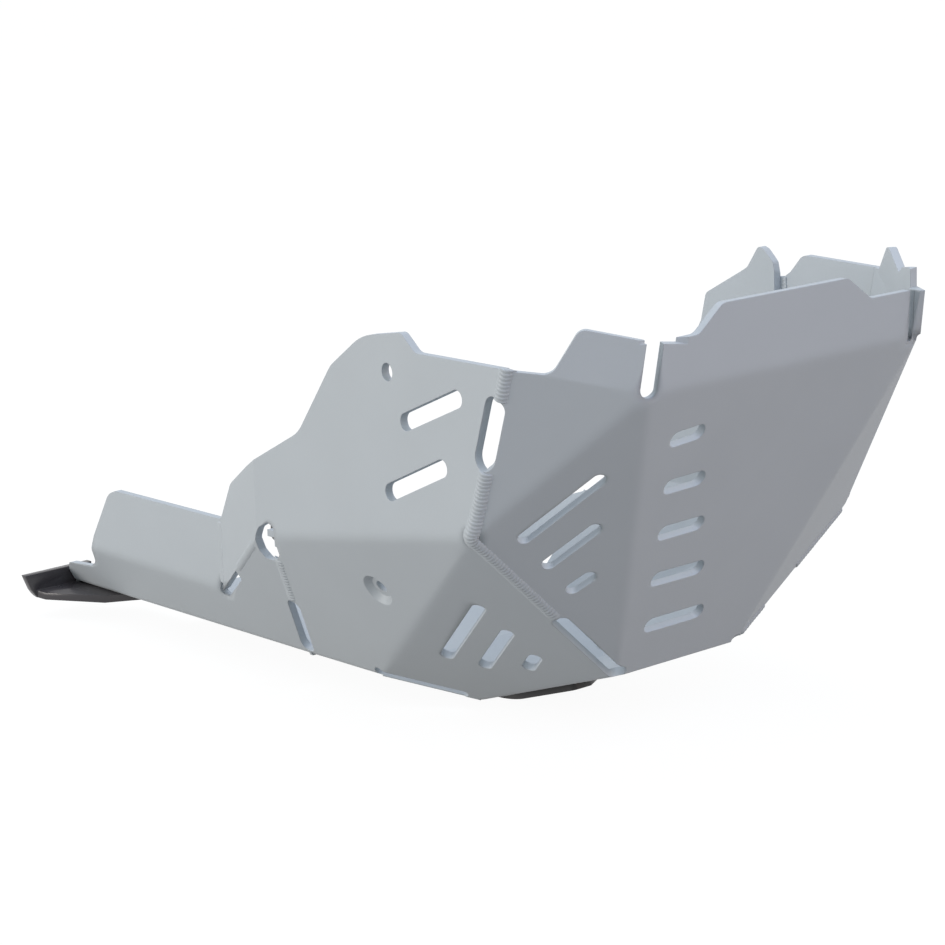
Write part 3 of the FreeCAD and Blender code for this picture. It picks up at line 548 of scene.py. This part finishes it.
# %% [markdown]
# ## The rear tray
#
# The rear bracket is a steel plate with an upright flange. It keeps the outline of the solid, so its mesh is
# copied. A press leaves no sharp edge: the bend under the flange and the cut edges are rounded with bevels,
# and the two ends of the flange slope inwards to the floor of the tray. The solid is loose triangles, and a
# bevel needs whole faces, so doubles are merged and flat triangles dissolved first.

# %% Rear tray
SLOPED_BEYOND, SLOPED_BELOW = 105.0, 2.0
END_SLOPE = 3.5
TRAY_BEND = 3.4
TRAY_EDGE = 0.8
mesh = bmesh.new()
mesh.from_mesh(nodes["rear_bracket"].data)
bmesh.ops.remove_doubles(mesh, verts=mesh.verts, dist=0.005 * MM)
bmesh.ops.dissolve_limit(mesh, angle_limit=math.radians(2), verts=mesh.verts, edges=mesh.edges)
rear_face = min(v.co.x for v in mesh.verts)
bottom = min(v.co.z for v in mesh.verts)
press_bend = [
    e for e in mesh.edges
    if all(abs(v.co.x - rear_face) < NEARLY * MM and abs(v.co.z - bottom) < NEARLY * MM for v in e.verts)
]
for vert in mesh.verts:
    if abs(vert.co.y) > SLOPED_BEYOND * MM and vert.co.z < SLOPED_BELOW * MM:
        vert.co.y -= math.copysign(END_SLOPE * MM, vert.co.y)
print("press bends:", len(press_bend), "of", len(mesh.edges), "edges")
round_edges(mesh, press_bend, TRAY_BEND, segments=5)
round_edges(mesh, sharp_edges(mesh), TRAY_EDGE, segments=2)
tray = finish_piece("rear_tray", mesh, black_coat, ["rear_bracket"])
tray.data.set_sharp_from_angle(angle=math.radians(35))
print("rear tray:", [round(size / MM, 1) for size in tray.dimensions], "mm")

# %% [markdown]
# ## Floor and world
#
# The guard stands on a pale floor in a white room. A white that came from more light would bleach the guard,
# so the floor and the world are white only to rays that look at them: camera, mirror and glass rays. To the
# rays that light the guard, the floor is a middle grey and the world a soft cool fill. A small share of the
# floor stays real paper to the camera, and that share carries the guard's shadow.

# %% Floor
def seen_directly(tree):
    """A socket that is 1 for rays that look at a surface, straight or through a mirror or glass."""
    rays = add_node(tree, "ShaderNodeLightPath").outputs
    seen = rays["Is Camera Ray"]
    for ray in ("Is Glossy Ray", "Is Transmission Ray"):
        seen = add_node(tree, "ShaderNodeMath", [(seen, 0), (rays[ray], 1)], operation="MAXIMUM").outputs[0]
    return seen


FLOOR_REACH = 6.0
WHITE_SHARE = 0.92
# A little over 1, to make up for the share of paper
WHITE_GLOW = 1.03
mesh = bmesh.new()
quad = bmesh.ops.create_grid(mesh, x_segments=1, y_segments=1, size=FLOOR_REACH)["verts"]
bmesh.ops.translate(mesh, verts=quad, vec=(0, 0, cad_box[0][2]))
floor = bpy.data.objects.new("floor", bpy.data.meshes.new("floor"))
mesh.to_mesh(floor.data)
mesh.free()
bpy.context.scene.collection.objects.link(floor)
# Pale floor paper: white to the eye with a soft shadow, and a middle grey to the light that it throws back
material, tree = new_material("pale_floor")
paper = add_node(tree, "ShaderNodeBsdfDiffuse", Color=(1, 1, 1, 1))
white = add_node(tree, "ShaderNodeEmission", Color=(1, 1, 1, 1), Strength=WHITE_GLOW)
bright = add_node(
    tree, "ShaderNodeMixShader", [(paper.outputs[0], 1), (white.outputs[0], 2)], Fac=WHITE_SHARE,
)
matt = add_node(tree, "ShaderNodeBsdfDiffuse", Color=srgb("#808080"))
both = add_node(
    tree, "ShaderNodeMixShader", [(seen_directly(tree), "Fac"), (matt.outputs[0], 1), (bright.outputs[0], 2)],
)
add_node(tree, "ShaderNodeOutputMaterial", [(both.outputs[0], "Surface")])
dress(floor, material)
print("floor at", round(cad_box[0][2] / MM, 1), "mm")

# %% World
world = bpy.data.worlds.new("studio")
bpy.context.scene.world = world
world.use_nodes = True
tree = world.node_tree
tree.nodes.clear()
fill = add_node(tree, "ShaderNodeBackground", Color=srgb("#eff9ff"), Strength=0.76)
white = add_node(tree, "ShaderNodeBackground", Color=(1, 1, 1, 1), Strength=1.0)
both = add_node(
    tree, "ShaderNodeMixShader", [(seen_directly(tree), "Fac"), (fill.outputs[0], 1), (white.outputs[0], 2)],
)
add_node(tree, "ShaderNodeOutputWorld", [(both.outputs[0], "Surface")])
print("world nodes:", len(tree.nodes))

# %% [markdown]
# ## Lamps
#
# The guard hangs in the soft, slightly cool light of a product photograph. Four large panels make it: a
# window low on the left of the camera for the side wall, a warmer panel on the right for the nose, a blue sky
# panel over the nose that tints the faces that look up, and a ceiling panel that fills the inside.

# %% Lamps
def lamp_panel(name, place, width, power, colour):
    """A square area lamp, in metres and watts, turned to the middle of the guard."""
    light = bpy.data.lights.new(name, "AREA")
    light.size = width
    light.energy = power
    light.color = srgb(colour)[:3]
    lamp = bpy.data.objects.new(name, light)
    bpy.context.scene.collection.objects.link(lamp)
    lamp.location = place
    lamp.rotation_euler = (GUARD_MIDDLE - Vector(place)).to_track_quat("-Z", "Y").to_euler()
    return lamp


GUARD_MIDDLE = Vector((0, 0, 0.08))
lamp_panel("window", (-1.0, -2.2, 0.3), 1.0, 30, "#fff9f4")
lamp_panel("front", (2.4, 0.4, 0.8), 1.2, 11.5, "#ffdccd")
lamp_panel("sky", (2.0, -0.2, 2.0), 1.2, 9, "#8fb2ff")
lamp_panel("ceiling", (-0.3, 0.1, 2.2), 1.4, 14, "#dfe8ff")

# %% [markdown]
# ## Camera
#
# The camera stands where it stood for the photograph. Its place and turn come from matching the folds of the
# guard to the picture, with a long lens from a little over a metre and a half away.

# %% Camera
CAMERA_PLACE = (1.17773, -1.02255, 0.45038)
AZIMUTH, ELEVATION, ROLL = (math.radians(v) for v in (41.4365, 13.1639, 1.778))
look = Vector((
    -math.cos(AZIMUTH) * math.cos(ELEVATION),
    math.sin(AZIMUTH) * math.cos(ELEVATION),
    -math.sin(ELEVATION),
))
level = look.cross(Vector((0, 0, 1))).normalized()
down = look.cross(level)
right = level * math.cos(ROLL) + down * math.sin(ROLL)
up = level * math.sin(ROLL) - down * math.cos(ROLL)
camera_data = bpy.data.cameras.new("camera")
camera_data.sensor_width = 36.0
camera_data.lens = 118.66
camera = bpy.data.objects.new("camera", camera_data)
bpy.context.scene.collection.objects.link(camera)
camera.matrix_world = Matrix.Translation(CAMERA_PLACE) @ Matrix((right, up, -look)).transposed().to_4x4()
bpy.context.scene.camera = camera
print("camera at", round(camera.location.length, 2), "m from the origin")

# %% Finish
bpy.context.scene.view_settings.view_transform = "Standard"
